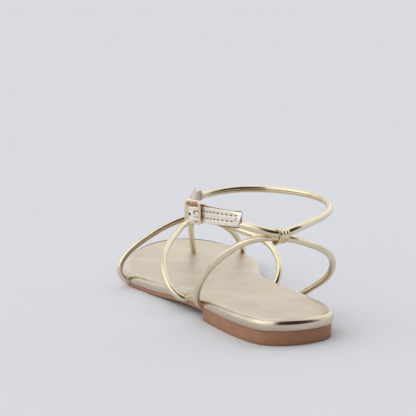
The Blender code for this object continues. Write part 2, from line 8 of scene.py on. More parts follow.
import bmesh
import bpy
import numpy as np
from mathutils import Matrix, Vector


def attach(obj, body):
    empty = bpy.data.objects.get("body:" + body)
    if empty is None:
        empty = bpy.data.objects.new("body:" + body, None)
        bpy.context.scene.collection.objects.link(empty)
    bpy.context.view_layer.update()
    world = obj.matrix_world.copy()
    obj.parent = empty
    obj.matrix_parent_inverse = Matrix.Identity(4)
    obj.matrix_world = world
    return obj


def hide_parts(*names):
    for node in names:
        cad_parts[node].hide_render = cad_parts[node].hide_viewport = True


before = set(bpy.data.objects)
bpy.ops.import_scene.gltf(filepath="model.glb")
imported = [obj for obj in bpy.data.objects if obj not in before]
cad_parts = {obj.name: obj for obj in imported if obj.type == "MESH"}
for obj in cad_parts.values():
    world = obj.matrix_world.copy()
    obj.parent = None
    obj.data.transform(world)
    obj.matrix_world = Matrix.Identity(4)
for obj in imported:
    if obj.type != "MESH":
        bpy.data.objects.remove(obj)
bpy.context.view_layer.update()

MM = 0.001

# Routes and sizes of the solids

# The ankle strap lies up to 1.6 mm from its solid, is thicker behind and thinner in front. The
# strap tab's line starts 1.5 mm further back, and the post's foot 1.6 mm higher in its hole.

HEEL_UNDERSIDE = 5.1
HEEL_BREAST_Y = 36.0
ARCH_START_Y = 35.0
FOREFOOT_START_Y = 120.0
TOE_SPRING_START_Y = 155.0
TOE_SPRING_LENGTH = 65.0
TOE_SPRING = 4.1
OUTSOLE_THICKNESS = 2.6
FOOTBED_THICKNESS = 5.9
SOLE_INSET = 1.2
STRAP_RADIUS = 1.85
POST_RADIUS = 1.8
ANKLE_BACK_RADIUS = 2.1
ANKLE_FRONT_RADIUS = 2.0
LEATHER = 0.7

OUTLINE = [(0.5, -30.0), (-17.5, -24.3), (-25.5, -5.0), (-29.5, 20.5), (-32.5, 51.0),
           (-36.5, 81.0), (-42.7, 111.5), (-47.8, 136.2), (-42.3, 161.8), (-30.7, 189.8),
           (-13.3, 209.7), (9.5, 217.6), (29.4, 208.9), (41.2, 188.2), (43.2, 161.0),
           (39.2, 136.0), (30.3, 108.7), (25.3, 80.0), (24.1, 49.4), (26.7, 19.1),
           (28.1, -5.8), (20.6, -22.8)]
FRONT_ROUTE = [(-39.5, 132.0, 2.8), (-46.0, 132.0, 3.0), (-50.5, 131.7, 5.4), (-53.0, 131.5, 9.6),
               (-52.6, 132.0, 13.8), (-49.0, 132.5, 19.2), (-42.9, 133.0, 24.6),
               (-33.8, 133.5, 30.3), (-23.5, 134.0, 35.6), (-12.5, 134.5, 39.5),
               (-4.0, 135.0, 40.9), (3.5, 136.0, 38.9), (12.3, 139.0, 35.6),
               (20.9, 145.0, 30.7), (28.1, 152.5, 24.7), (34.6, 162.0, 17.6),
               (40.5, 173.5, 11.2), (42.6, 179.0, 6.6), (39.5, 181.5, 3.9), (33.0, 182.0, 3.3)]
MIDDLE_ROUTE = [(-23.5, 58.5, 6.9), (-30.0, 58.0, 6.9), (-34.3, 58.5, 7.4), (-37.6, 60.5, 9.4),
                (-40.4, 64.0, 13.3), (-41.4, 70.0, 18.5), (-40.6, 77.0, 23.7), (-37.7, 85.0, 29.1),
                (-32.1, 94.0, 33.2), (-23.9, 107.5, 36.0), (-16.5, 120.0, 37.9),
                (-9.2, 129.2, 38.8), (-4.0, 132.0, 39.7), (1.5, 131.3, 39.4),
                (6.8, 127.0, 38.1), (12.5, 119.5, 36.8), (19.6, 112.0, 34.3), (25.4, 105.0, 32.2),
                (30.3, 98.0, 29.1), (32.5, 91.0, 24.8), (32.6, 84.0, 19.7), (30.6, 78.5, 14.5),
                (27.3, 74.8, 9.6), (24.3, 73.6, 6.5), (20.0, 73.3, 5.7), (15.5, 73.3, 5.6)]
HEEL_ROUTE = [(-20.5, 39.3, 7.8), (-26.5, 38.3, 7.8), (-31.2, 36.8, 8.3), (-34.0, 34.0, 12.0),
              (-35.9, 26.5, 18.7), (-36.2, 20.0, 24.7), (-35.7, 14.0, 30.0), (-35.0, 6.0, 35.8),
              (-33.0, -2.0, 41.6), (-29.0, -8.3, 47.0), (-23.8, -13.6, 51.6), (-17.7, -18.0, 54.3),
              (-11.6, -20.6, 55.0), (-6.2, -21.1, 54.6), (-0.5, -21.0, 53.8), (4.5, -19.5, 52.2),
              (11.0, -16.5, 49.7), (19.2, -11.0, 46.1), (27.2, -3.5, 41.3), (32.7, 4.0, 36.1),
              (35.8, 11.5, 29.8), (36.2, 19.0, 23.5), (34.2, 27.5, 18.0), (30.8, 33.5, 13.7),
              (27.2, 37.3, 9.8), (23.0, 38.8, 8.0), (17.0, 39.3, 7.8)]
POST_ROUTE = [(9.6, 183.0, 5.5), (9.6, 183.0, 9.2), (8.3, 180.0, 13.5), (5.8, 173.5, 18.8),
              (2.4, 164.0, 25.2), (-0.9, 153.0, 31.8), (-2.6, 143.5, 36.9), (-3.4, 137.5, 39.6)]
ANKLE_ROUTE = [(-29.3, -14.3, 62.4), (-27.3, -15.5, 61.9), (-24.6, -17.3, 61.2),
               (-19.6, -20.6, 59.9), (-13.2, -23.8, 58.1), (-6.8, -24.5, 56.9),
               (0.6, -23.6, 59.2), (9.6, -18.6, 60.9), (19.0, -11.0, 62.0), (27.5, -1.0, 62.9),
               (33.6, 11.0, 64.2), (36.2, 24.0, 65.2), (34.3, 35.0, 66.4), (28.7, 45.0, 67.2),
               (21.0, 53.0, 67.7), (10.9, 58.0, 68.1), (-0.4, 60.0, 68.2), (-11.3, 59.0, 67.7),
               (-20.0, 56.2, 67.0), (-23.6, 54.6, 66.7), (-27.0, 52.4, 66.5), (-28.6, 50.2, 66.4)]
STRAP_TAB_REAR = [(-24.3, -17.4), (-25.6, -16.6), (-30.6, -13.2), (-35.6, -8.2), (-38.7, -1.5)]
STRAP_TAB_TIP = [(-44.0, 19.0), (-44.0, 21.8)]
BUCKLE_TAB_ROUTE = [(-23.6, 54.6), (-27.0, 52.4), (-29.2, 49.2), (-31.5, 43.5), (-34.9, 34.0),
                    (-38.6, 24.5)]

BUCKLE_CENTRE = np.array((-43.4, 9.9, 64.9))
BUCKLE_ALONG = np.array((-0.345, 0.939, 0.0))
BUCKLE_OUT = np.array((-0.939, -0.345, 0.0))
FRAME_HALF_LENGTH = 5.8
FRAME_HALF_HEIGHT = 5.5
FRAME_CORNER = 1.4
FRAME_BOW = 1.2
BAR_RADIUS = 0.75
CENTRE_BAR_RADIUS = 0.6
PIN_RADIUS = 0.45
PIN_HOOK_RADIUS = CENTRE_BAR_RADIUS + 0.2 + PIN_RADIUS
TAB_HALF_HEIGHT = 4.4
STRAP_DEPTH_AT_BARS = 1.9
STRAP_RISE_AT_CENTRE = 1.5
EYE_RADIUS = 1.2

CROSSING = np.array((-3.6, 133.5, 40.2))
CROSSING_ACROSS = (0.0, 3.1, 1.1)
LOOP = np.array((-6.4, -22.8, 55.8))
LOOP_ACROSS = (0.0, -3.4, 2.3)

# Sizes of the dressed pieces' details

STRAP_END_THINNING = 0.28
ANKLE_END_THINNING = 0.62
ANKLE_END_LENGTH = 5.0
ENTRY_HEIGHT = 17.0
ROLL_ABOVE = 2.2
ROLL_BELOW = 1.0
FOOTBED_CROWN = 0.35
FOOTBED_HOLLOW = 0.55
FOOTBED_SATIN_BORDER = 4.0
POST_DIMPLE = 0.7
SOLE_CORNER = 0.35
HEEL_TREAD = (-20, 28)
BALL_TREAD = (92, 196)
RIB_PITCH = 5.6
RIB_HEIGHT = 0.45
STITCH_WIDTH = 0.32
LAYER_OFFSET = 0.36
OUTER_LAYER_GAP = (28.3, 30.5)
STITCH_PAUSE = (27.8, 31.0)
LAST_STITCH = 33.6
HOLE_SIDES = 20
FREE_HOLE_RADIUS = 0.85
FREE_HOLE_HEIGHT = -0.85
PIN_HOLE_RADIUS = 0.68
FOLD_HALF_GAP = 0.37
PETAL_RIPPLE = 2.7

# Finishes of a leather piece, in the order of its materials

FACE, LINING, CUT_EDGE, THREAD = range(4)

# Camera

CAMERA_PLACE = (-0.2413, -0.6408, 0.1747)
CAMERA_AIM = (-0.00976, 0.090, 0.05322)
CAMERA_LENS = 115.17


def make_camera():
    data = bpy.data.cameras.new("camera")
    data.lens = CAMERA_LENS
    data.clip_start = 0.05
    data.clip_end = 1000.0
    camera = bpy.data.objects.new("camera", data)
    bpy.context.scene.collection.objects.link(camera)
    camera.location = CAMERA_PLACE
    aim = Vector(CAMERA_AIM) - Vector(CAMERA_PLACE)
    camera.rotation_euler = aim.to_track_quat("-Z", "Y").to_euler()
    bpy.context.scene.camera = camera


# Lines and surfaces

def unit(v):
    return v / np.linalg.norm(v, axis=-1, keepdims=True)


def smooth_step(value):
    value = np.clip(value, 0.0, 1.0)
    return value * value * (3 - 2 * value)


def lengths_along(points):
    return np.concatenate([[0.0], np.cumsum(np.linalg.norm(np.diff(points, axis=0), axis=1))])


def catmull(table, steps, closed=False):
    """A smooth line through a table's points."""
    given = np.array(table, float)
    if closed:
        padded = np.vstack([given[-1:], given, given[:2]])
    else:
        padded = np.vstack([2 * given[:1] - given[1:2], given, 2 * given[-1:] - given[-2:-1]])
    t = np.arange(steps)[:, None] / steps
    spans = [0.5 * (2 * b + (c - a) * t + (2 * a - 5 * b + 4 * c - d) * t ** 2
                    + (3 * b - a - 3 * c + d) * t ** 3)
             for a, b, c, d in zip(padded, padded[1:], padded[2:], padded[3:])]
    return np.vstack(spans if closed else spans + [given[-1:]])


def even(points, step):
    """The same line with its points a step apart."""
    travelled = lengths_along(points)
    at = np.linspace(0, travelled[-1], max(3, round(travelled[-1] / step) + 1))
    return np.stack([np.interp(at, travelled, column) for column in points.T], 1)


def relaxed(points, rounds):
    """The line with the small kinks between its table's points worked out."""
    points = points.copy()
    for _ in range(rounds):
        points[1:-1] = (points[:-2] + 2 * points[1:-1] + points[2:]) / 4
    return points


def route(table, step=1.3, rounds=10):
    return relaxed(even(catmull(table, 12), step), rounds)


def carried_frames(points, heart):
    """Along a line: its direction, the way in to the foot, and the way across, without twist."""
    tangent = unit(np.gradient(points, axis=0))
    inward = np.zeros_like(points)
    middle = len(points) // 2

    def across(vector, k):
        return unit(vector - (vector @ tangent[k]) * tangent[k])

    inward[middle] = across(np.array(heart) - points[middle], middle)
    for k in range(middle + 1, len(points)):
        inward[k] = across(inward[k - 1], k)
    for k in range(middle - 1, -1, -1):
        inward[k] = across(inward[k + 1], k)
    return tangent, inward, np.cross(tangent, inward)


class Piece:
    """Surfaces in millimetres that together become one object riding on the sandal."""

    def __init__(self):
        self.points = []
        self.faces = []
        self.kinds = []
        self.marks = []

    def grid(self, points, wrap_rows=False, wrap_columns=False, caps=False, kind=0, mark=0.0):
        """A net of quads. kind is its finish and mark a value that the finish may use."""
        points = np.asarray(points, float)
        rows, columns = points.shape[:2]
        first = len(self.points)
        kinds = np.broadcast_to(kind, (rows, columns))
        self.points.extend(points.reshape(-1, 3))
        self.marks.extend(np.broadcast_to(mark, (rows, columns)).ravel())
        for r in range(rows if wrap_rows else rows - 1):
            for c in range(columns if wrap_columns else columns - 1):
                r2, c2 = (r + 1) % rows, (c + 1) % columns
                self.faces.append([first + r * columns + c, first + r * columns + c2,
                                   first + r2 * columns + c2, first + r2 * columns + c])
                self.kinds.append(int(kinds[r, c]))
        if caps:
            for r in (0, rows - 1):
                self.faces.append([first + r * columns + c for c in range(columns)])
                self.kinds.append(int(kinds[r, 0]))

    def build(self, name, finishes, replaces=(), sharp=0.8, cutters=()):
        mesh = bpy.data.meshes.new(name)
        mesh.from_pydata(np.array(self.points) * MM, [], self.faces)
        mesh.polygons.foreach_set("material_index", self.kinds)
        mark = mesh.attributes.new("mark", "FLOAT", "POINT")
        mark.data.foreach_set("value", np.array(self.marks, np.float32))
        bm = bmesh.new()
        bm.from_mesh(mesh)
        bmesh.ops.remove_doubles(bm, verts=bm.verts, dist=2e-6)
        bmesh.ops.dissolve_degenerate(bm, edges=bm.edges, dist=1e-6)
        bmesh.ops.recalc_face_normals(bm, faces=bm.faces)
        bm.to_mesh(mesh)
        bm.free()
        for finish in finishes:
            mesh.materials.append(finish)
        piece = bpy.data.objects.new(name, mesh)
        bpy.context.scene.collection.objects.link(piece)
        if cutters:
            carve(piece, cutters)
        piece.data.shade_smooth()
        piece.data.set_sharp_from_angle(angle=sharp)
        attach(piece, "root")
        if replaces:
            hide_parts(*replaces)


def carve(piece, cutters):
    """Cuts holes for good, so that nothing of the cutters stays in the scene."""
    for cutter in cutters:
        modifier = piece.modifiers.new(cutter.name, "BOOLEAN")
        modifier.operation = "DIFFERENCE"
        modifier.solver = "EXACT"
        modifier.use_self = True
        modifier.object = cutter
    bpy.context.view_layer.update()
    graph = bpy.context.evaluated_depsgraph_get()
    carved = bpy.data.meshes.new_from_object(piece.evaluated_get(graph))
    piece.modifiers.clear()
    piece.data = carved
    for cutter in cutters:
        bpy.data.objects.remove(cutter)


# Finishes

class Finish:
    """A material or a shared effect while it is put together."""

    def __init__(self, tree):
        self.tree = tree

    def add(self, kind, inputs=(), **settings):
        node = self.tree.nodes.new(kind)
        for key, value in settings.items():
            setattr(node, key, value)
        self.feed(node, dict(inputs))
        return node

    def feed(self, node, inputs):
        """Links a node's inputs to sockets, or sets them to values."""
        for key, value in inputs.items():
            if isinstance(value, bpy.types.NodeSocket):
                self.tree.links.new(value, node.inputs[key])
            else:
                node.inputs[key].default_value = value

    def mark(self):
        return self.add("ShaderNodeAttribute", attribute_name="mark").outputs["Fac"]

    def bump(self, height, strength, depth):
        return self.add("ShaderNodeBump", {"Height": height, "Strength": strength,
                                           "Distance": depth * MM}).outputs[0]

    def sum(self, operation, *values):
        return self.add("ShaderNodeMath", dict(enumerate(values)), operation=operation).outputs[0]

    def ramp(self, value, stops):
        node = self.add("ShaderNodeValToRGB", {"Fac": value})
        elements = node.color_ramp.elements
        while len(elements) < len(stops):
            elements.new(0.5)
        for element, (place, colour) in zip(elements, stops):
            element.position = place
            element.color = (*colour, 1.0)
        return node.outputs["Color"]

    def mix(self, share, a, b, blend="MIX"):
        node = self.add("ShaderNodeMix", data_type="RGBA", blend_type=blend)
        for socket, value in zip((node.inputs[0], node.inputs[6], node.inputs[7]), (share, a, b)):
            if isinstance(value, bpy.types.NodeSocket):
                self.tree.links.new(value, socket)
            else:
                socket.default_value = value if isinstance(value, float) else (*value, 1.0)
        return node.outputs[2]


def effect(name, inputs, outputs):
    """An empty shared effect with named inputs and outputs."""
    tree = bpy.data.node_groups.new(name, "ShaderNodeTree")
    for label, value in inputs.items():
        socket = tree.interface.new_socket(label, in_out="INPUT", socket_type="NodeSocketFloat")
        socket.default_value = value
    for label in outputs:
        tree.interface.new_socket(label, in_out="OUTPUT", socket_type="NodeSocketFloat")
    finish = Finish(tree)
    return finish, finish.add("NodeGroupInput"), finish.add("NodeGroupOutput")


def leather_grain_effect():
    """Fine pebbled grain, slow mottling and short creases of coated leather."""
    f, given, result = effect("leather_grain", {"Grain size": 0.5, "Crease size": 3.0},
                              ("Height", "Mottle"))
    place = f.add("ShaderNodeTexCoord").outputs["Object"]
    per_mm = f.sum("DIVIDE", 1.0 / MM, given.outputs["Grain size"])
    pebble = f.add("ShaderNodeTexVoronoi", {"Vector": place, "Scale": per_mm},
                   feature="SMOOTH_F1")
    fine = f.add("ShaderNodeTexNoise", {"Vector": place, "Scale": per_mm, "Detail": 3.0})
    crease_per_mm = f.sum("DIVIDE", 1.0 / MM, given.outputs["Crease size"])
    crease = f.add("ShaderNodeTexNoise", {"Vector": place, "Scale": crease_per_mm, "Detail": 4.0,
                                          "Roughness": 0.6, "Distortion": 0.4})
    slow = f.add("ShaderNodeTexNoise", {"Vector": place, "Scale": 0.06 / MM, "Detail": 2.0})
    height = f.sum("MULTIPLY_ADD", pebble.outputs["Distance"], 0.5, fine.outputs["Fac"])
    height = f.sum("MULTIPLY_ADD", crease.outputs["Fac"], 1.2, height)
    mottle = f.sum("MULTIPLY_ADD", slow.outputs["Fac"], 0.7,
                   f.sum("MULTIPLY", crease.outputs["Fac"], 0.3))
    f.tree.links.new(height, result.inputs["Height"])
    f.tree.links.new(mottle, result.inputs["Mottle"])
    return f.tree


def scuff_effect():
    """Hairlines and patches of wear."""
    f, given, result = effect("fine_scuffs", {"Hairline size": 0.4}, ("Scratches", "Wear"))
    place = f.add("ShaderNodeTexCoord").outputs["Object"]
    stretched = f.add("ShaderNodeMapping", {"Vector": place, "Scale": (1.0, 0.08, 1.0)})
    per_mm = f.sum("DIVIDE", 1.0 / MM, given.outputs["Hairline size"])
    lines = f.add("ShaderNodeTexNoise", {"Vector": stretched.outputs[0], "Scale": per_mm,
                                         "Detail": 2.0})
    wear = f.add("ShaderNodeTexNoise", {"Vector": place, "Scale": 0.18 / MM, "Detail": 5.0,
                                        "Roughness": 0.65})
    f.tree.links.new(lines.outputs["Fac"], result.inputs["Scratches"])
    f.tree.links.new(wear.outputs["Fac"], result.inputs["Wear"])
    return f.tree


def new_finish(name):
    material = bpy.data.materials.new(name)
    material.use_nodes = True
    finish = Finish(material.node_tree)
    return material, finish, material.node_tree.nodes["Principled BSDF"]


SATIN_BARE_SHARE = 0.3


def leather_finish(name, grain, scuffs, dark, light, roughness, depth, size, satin=0.0):
    """Foil-coated leather: mottled gold, dulled where it has been handled, with a fine grain.

    Marked places are darker: dark seams on the straps, and painted shade in the creases of the
    buckle tab. Where satin is given they are instead rougher by that much and less metallic.
    """
    material, f, shader = new_finish(name)
    skin = f.add("ShaderNodeGroup", {"Grain size": size}, node_tree=grain)
    wear_and_painted_shade = f.add("ShaderNodeGroup", node_tree=scuffs)
    mark = f.mark()
    gold = f.ramp(skin.outputs["Mottle"], [(0.35, dark), (0.65, light)])
    dull = f.sum("MULTIPLY_ADD", wear_and_painted_shade.outputs["Wear"], 0.10, roughness - 0.05)
    coated = 1.0
    if satin:
        dull = f.sum("MULTIPLY_ADD", mark, satin, dull)
        coated = f.sum("MULTIPLY_ADD", mark, -SATIN_BARE_SHARE, 1.0)
    else:
        # Marks darken the gold: seams on the straps, and painted shade in the buckle tab's creases
        gold = f.mix(mark, gold, tuple(0.35 * channel for channel in dark))
    f.feed(shader, {"Base Color": gold, "Roughness": dull, "Metallic": coated,
                    "Normal": f.bump(skin.outputs["Height"], depth, 0.1)})
    return material


def raw_finish(name, grain, dark, light, roughness=0.75):
    """Uncoated leather, as on cut edges and linings, with painted shade where marked."""
    material, f, shader = new_finish(name)
    skin = f.add("ShaderNodeGroup", {"Grain size": 0.35}, node_tree=grain)
    colour = f.ramp(skin.outputs["Mottle"], [(0.35, dark), (0.65, light)])
    # Marks darken it with painted shade: beside the frame's rear bar and in the buckle tab's creases
    colour = f.mix(f.mark(), colour, tuple(0.45 * channel for channel in dark))
    f.feed(shader, {"Base Color": colour, "Roughness": roughness,
                    "Normal": f.bump(skin.outputs["Height"], 0.5, 0.15)})
    return material


def sole_finish(scuffs):
    """Tan moulded rubber, darker along its lower edge."""
    material, f, shader = new_finish("tan_rubber")
    wear_and_painted_shade = f.add("ShaderNodeGroup", node_tree=scuffs)
    scratches = wear_and_painted_shade.outputs["Scratches"]
    tan = f.ramp(wear_and_painted_shade.outputs["Wear"], [(0.3, (0.34, 0.165, 0.085)), (0.7, (0.40, 0.20, 0.11))])
    tan = f.mix(f.mark(), tan, (0.16, 0.075, 0.045))
    f.feed(shader, {"Base Color": tan, "Specular IOR Level": 0.3,
                    "Roughness": f.sum("MULTIPLY_ADD", scratches, 0.2, 0.38),
                    "Normal": f.bump(scratches, 0.25, 0.08)})
    return material


def metal_finish(scuffs):
    """Polished rose gold plating with hairlines."""
    material, f, shader = new_finish("rose_gold")
    wear_and_painted_shade = f.add("ShaderNodeGroup", {"Hairline size": 0.15}, node_tree=scuffs)
    scratches = wear_and_painted_shade.outputs["Scratches"]
    plate = f.ramp(wear_and_painted_shade.outputs["Wear"], [(0.3, (0.85, 0.65, 0.47)), (0.7, (0.93, 0.76, 0.58))])
    f.feed(shader, {"Base Color": plate, "Metallic": 1.0,
                    "Roughness": f.sum("MULTIPLY_ADD", scratches, 0.16, 0.08),
                    "Normal": f.bump(scratches, 0.1, 0.03)})
    return material


# Straps

HALF_ROUND = [0.0, 0.06, 0.13, 0.24, 0.42, 0.65, 0.9, 1.2, 1.5, 1.8, 2.1, 2.4, 2.7, 2.95]
ROUND = np.array(HALF_ROUND + [pi] + [2 * pi - angle for angle in HALF_ROUND[:0:-1]])


def tube(piece, points, radii, heart, pressed=0.0, seam=0.14):
    """A rolled leather strap, seamed on the side of the foot, pressed flatter by a share."""
    tangent, inward, side = carried_frames(points, heart)
    groove = np.exp(-(np.minimum(ROUND, 2 * pi - ROUND) / 0.09) ** 2)
    radial = 1 - seam * groove
    around = (inward[:, None] * (np.cos(ROUND) * radial)[None, :, None]
              + side[:, None] * (np.sin(ROUND) * radial)[None, :, None])
    up = np.array((0.0, 0.0, 1.0))
    thin = up - (tangent @ up)[:, None] * tangent
    thin = thin / np.maximum(np.linalg.norm(thin, axis=1, keepdims=True), 0.2)
    wide = np.cross(tangent, thin)
    pressed = np.broadcast_to(pressed, len(points))[:, None, None]
    high = np.einsum("rck,rk->rc", around, thin)[..., None] * thin[:, None]
    flat = np.einsum("rck,rk->rc", around, wide)[..., None] * wide[:, None]
    around = around - high * pressed * 0.45 + flat * pressed * 0.3
    rings = points[:, None] + around * np.asarray(radii)[:, None, None]
    piece.grid(rings, wrap_columns=True, caps=True,
               mark=np.broadcast_to(groove * (0.8 if seam else 0.0), rings.shape[:2]))


def ends_pressed(points, length=13.0):
    """1 at both ends of a line, 0 beyond a length from them."""
    travelled = lengths_along(points)
    from_end = np.minimum(travelled, travelled[-1] - travelled)
    return 1 - smooth_step(from_end / length)


def sole_strap(name, table, heart, gold, replaces):
    points = route(table)
    pressed = ends_pressed(points)
    travelled = lengths_along(points)
    hand = 1 + 0.012 * np.sin(travelled * 0.21) + 0.008 * np.sin(travelled * 0.53 + 1.0)
    piece = Piece()
    radii = STRAP_RADIUS * hand * (1 - STRAP_END_THINNING * pressed)
    tube(piece, points, radii, heart, pressed)
    piece.build(name, [gold], replaces)


# Sole and footbed

def entering_straps():
    """The low ends of the straps and their radius, which footbed and outsole leave room for."""
    ends = []
    for table in (FRONT_ROUTE, MIDDLE_ROUTE, HEEL_ROUTE):
        line = route(table)
        low = line[:, 2] < ENTRY_HEIGHT
        half = len(line) // 2
        for part in (line[:half][low[:half]], line[half:][low[half:]]):
            ends.append((part, STRAP_RADIUS))
    return ends


def underside_height(y):
    """Height of the outsole's underside: level heel, arch, tread, toe spring."""
    fall = smooth_step((y - ARCH_START_Y) / (FOREFOOT_START_Y - ARCH_START_Y))
    spring = np.maximum(y - TOE_SPRING_START_Y, 0.0) / TOE_SPRING_LENGTH
    return HEEL_UNDERSIDE * (1 - fall) + TOE_SPRING * spring ** 2


def paired_outline(step=1.4, breast=False):
    """The edge seen from above, as pairs of points that face each other across the sole.

    The first point is the heel's back and the middle one the toe. The other points of the
    first half lie on the outer side, and the second half runs back along the inner side.
    """
    dense = catmull(OUTLINE, 40, closed=True)
    back = dense[:, 1].argmin()
    dense = np.roll(dense, -back, axis=0)
    toe = dense[:, 1].argmax()
    outer = dense[:toe + 1]
    inner = np.vstack([dense[toe:], dense[:1]])[::-1]
    outer_even = even(outer, step)
    stations = outer_even[1:-1, 1]
    if breast:
        stations = np.sort(np.append(stations, [HEEL_BREAST_Y - 0.02, HEEL_BREAST_Y + 0.02]))
    sides = [np.stack([np.interp(stations, side[:, 1], side[:, 0]), stations], 1)
             for side in (outer, inner)]
    return np.vstack([outer[:1], sides[0], outer[-1:], sides[1][::-1]])


def outward(outline):
    """Outward directions of a closed outline that runs clockwise seen from above."""
    run = np.roll(outline, -1, axis=0) - np.roll(outline, 1, axis=0)
    return unit(np.stack([-run[:, 1], run[:, 0]], 1))


def make_room(points, straps, clearance=0.12):
    """Pushes a surface away from the straps that enter it."""
    flat = points.reshape(-1, 3)
    for line, radius in straps:
        for start, end in zip(line, line[1:]):
            run = end - start
            share = np.clip((flat - start) @ run / (run @ run), 0, 1)
            off = flat - start - share[:, None] * run
            distance = np.linalg.norm(off, axis=1, keepdims=True)
            reach = radius + clearance
            near = (distance[:, 0] < reach) & (distance[:, 0] > 1e-6)
            flat[near] += off[near] / distance[near] * (reach - distance[near])
    return flat.reshape(points.shape)


def across_sole(edge, fractions):
    """Rows of points from each outer edge point to the inner one it faces."""
    half = len(edge) // 2
    outer = edge[:half + 1]
    inner = np.vstack([edge[:1], edge[:half - 1:-1]])[:half + 1]
    return outer[:, None] * (1 - fractions)[None, :, None] + inner[:, None] * fractions[None, :, None]


def build_footbed(gold, straps):
    """Padded footbed in one skin of leather, rolled round its edge."""
    outline = paired_outline()
    out = outward(outline)
    half = FOOTBED_THICKNESS / 2
    rings = []
    for angle in np.linspace(-pi / 2, pi / 2, 15):
        reach = ROLL_ABOVE if angle > 0 else ROLL_BELOW
        ring = outline - out * reach * (1 - cos(angle))
        height = underside_height(outline[:, 1]) + OUTSOLE_THICKNESS + half + half * sin(angle)
        rings.append(np.column_stack([ring, height]))
    rings = np.array(rings)
    rings[0, :, 2] += 0.15
    piece = Piece()
    piece.grid(make_room(rings, straps), wrap_columns=True)
    top_edge = rings[-1]
    share = np.linspace(0, 1, 57)
    fractions = 0.5 - 0.5 * np.cos(pi * share) * (1 - 0.35 * np.sin(pi * share) ** 2)
    top = across_sole(top_edge, fractions)
    width = np.linalg.norm(top[:, -1] - top[:, 0], axis=1)[:, None]
    from_edge = np.minimum(fractions, 1 - fractions)[None, :] * width
    top[..., 2] = (underside_height(top[..., 1]) + OUTSOLE_THICKNESS + FOOTBED_THICKNESS
                   + FOOTBED_CROWN * smooth_step(from_edge / 5.0)
                   - FOOTBED_HOLLOW * smooth_step((from_edge - 4) / 18.0))
    post = np.hypot(top[..., 0] - POST_ROUTE[1][0], top[..., 1] - POST_ROUTE[1][1])
    top[..., 2] -= POST_DIMPLE * np.exp(-np.maximum(post - POST_RADIUS, 0.0) / 1.2)
    piece.grid(top, mark=smooth_step(from_edge / FOOTBED_SATIN_BORDER))
    piece.grid(across_sole(rings[0], np.linspace(0, 1, 9)))
    piece.build("footbed_cover", [gold], ["footbed"])


def build_sole(rubber, straps):
    """Moulded outsole and low heel, with a fine tread under the heel and the ball."""
    outline = paired_outline(breast=True)
    out = outward(outline)
    wall = outline - out * SOLE_INSET
    y = outline[:, 1]
    bottom = np.where(y < HEEL_BREAST_Y, 0.0, underside_height(y))
    top = underside_height(y) + OUTSOLE_THICKNESS - 0.15
    levels = []
    marks = []
    for share, mark in ((1.0, 0.25), (0.97, 0.0), (0.6, 0.0), (0.3, 0.0), (0.12, 0.15)):
        height = bottom + SOLE_CORNER + (top - bottom - SOLE_CORNER) * share
        levels.append(np.column_stack([wall, height]))
        marks.append(np.full(len(y), mark))
    for inset, lift, mark in ((0.1, 0.12, 0.55), (0.4, 0.0, 0.7)):
        levels.append(np.column_stack([wall - out * inset, bottom + lift]))
        marks.append(np.full(len(y), mark))
    rings = make_room(np.array(levels), straps)
    piece = Piece()
    piece.grid(rings, wrap_columns=True, mark=np.array(marks))
    share = np.linspace(0, 1, 49)
    under = across_sole(rings[-1], share)
    width = np.linalg.norm(under[:, -1] - under[:, 0], axis=1)[:, None]
    from_edge = np.minimum(share, 1 - share)[None, :] * width
    ys = under[..., 1]
    level = np.where(ys < HEEL_BREAST_Y, 0.0, underside_height(ys))
    tread = np.zeros_like(ys, bool)
    for start, end in (HEEL_TREAD, BALL_TREAD):
        tread |= (ys > start) & (ys < end)
    rib = 0.5 - 0.5 * np.cos(2 * pi * (ys + 0.35 * np.abs(under[..., 0])) / RIB_PITCH)
    under[..., 2] = level + RIB_HEIGHT * rib * tread * smooth_step((from_edge - 5.0) / 1.5)
    piece.grid(under, mark=0.25)
    piece.grid(across_sole(rings[0], np.linspace(0, 1, 9)))
    piece.build("outsole", [rubber], ["unit_sole"], sharp=0.6)


# Gathered bands

def gathered_band(piece, centre, across, spread, radius, left, right, flare, pleat,
                  inside=LINING):
    """A strip of leather gathered round two straps, with pleats on its outer side.

    left gives how far the open edge reaches, and flare how far its lip stands off, both from
    the angle round the band. pleat is the distance between two pleats, and inside the finish
    of the inner side.
    """
    across = unit(np.array(across))
    other = np.array((0.0, -across[2], across[1]))
    axis = np.array((1.0, 0.0, 0.0))
    angles = np.linspace(0, 2 * pi, 73)[:-1]
    places = np.linspace(-1, 1, 49)
    edge = np.sqrt(np.clip(1 - ((np.abs(places) - 0.93) / 0.07).clip(0, 1) ** 2, 0, 1)).clip(0.25)
    rows = []
    for angle in angles:
        along, aside = cos(angle), sin(angle)
        base = centre + across * spread * np.tanh(along * 3.0)
        way = unit(across * along + other * aside * (1 + 0.15 * abs(along)))
        x = np.where(places < 0, places * left(angle), places * right)
        lip = flare(angle) * smooth_step((-x - 0.9) / 2.2) ** 1.2
        ridge = np.abs(np.sin(pi * (x + 1.3 + 0.1 * sin(3 * angle)) / pleat)) ** 0.7
        ridge = ridge * smooth_step((x + 2.4) / 0.7) * smooth_step((right - x) / 0.5)
        outer = radius + 0.18 + LEATHER + lip + 0.42 * ridge
        inner = outer - LEATHER - 0.3 * ridge
        wall = (outer + inner) / 2
        out = base + axis * x[:, None] + way * (wall + (outer - wall) * edge)[:, None]
        back = base + axis * x[:, None] + way * (wall - (wall - inner) * edge)[:, None]
        rows.append(np.vstack([out, back[::-1]]))
    rows = np.array(rows)
    kinds = np.where(np.arange(rows.shape[1]) < len(places) - 1, FACE, inside)
    piece.grid(rows, wrap_rows=True, wrap_columns=True, kind=kinds[None, :])


def loop_reach(angle):
    """The heel loop's open edge: short on the outside, with a flap on top."""
    flap = 1.3 * np.exp(-((angle - 5.3) / 0.45) ** 2)
    return 3.3 - 0.7 * cos(angle - 0.5) + flap


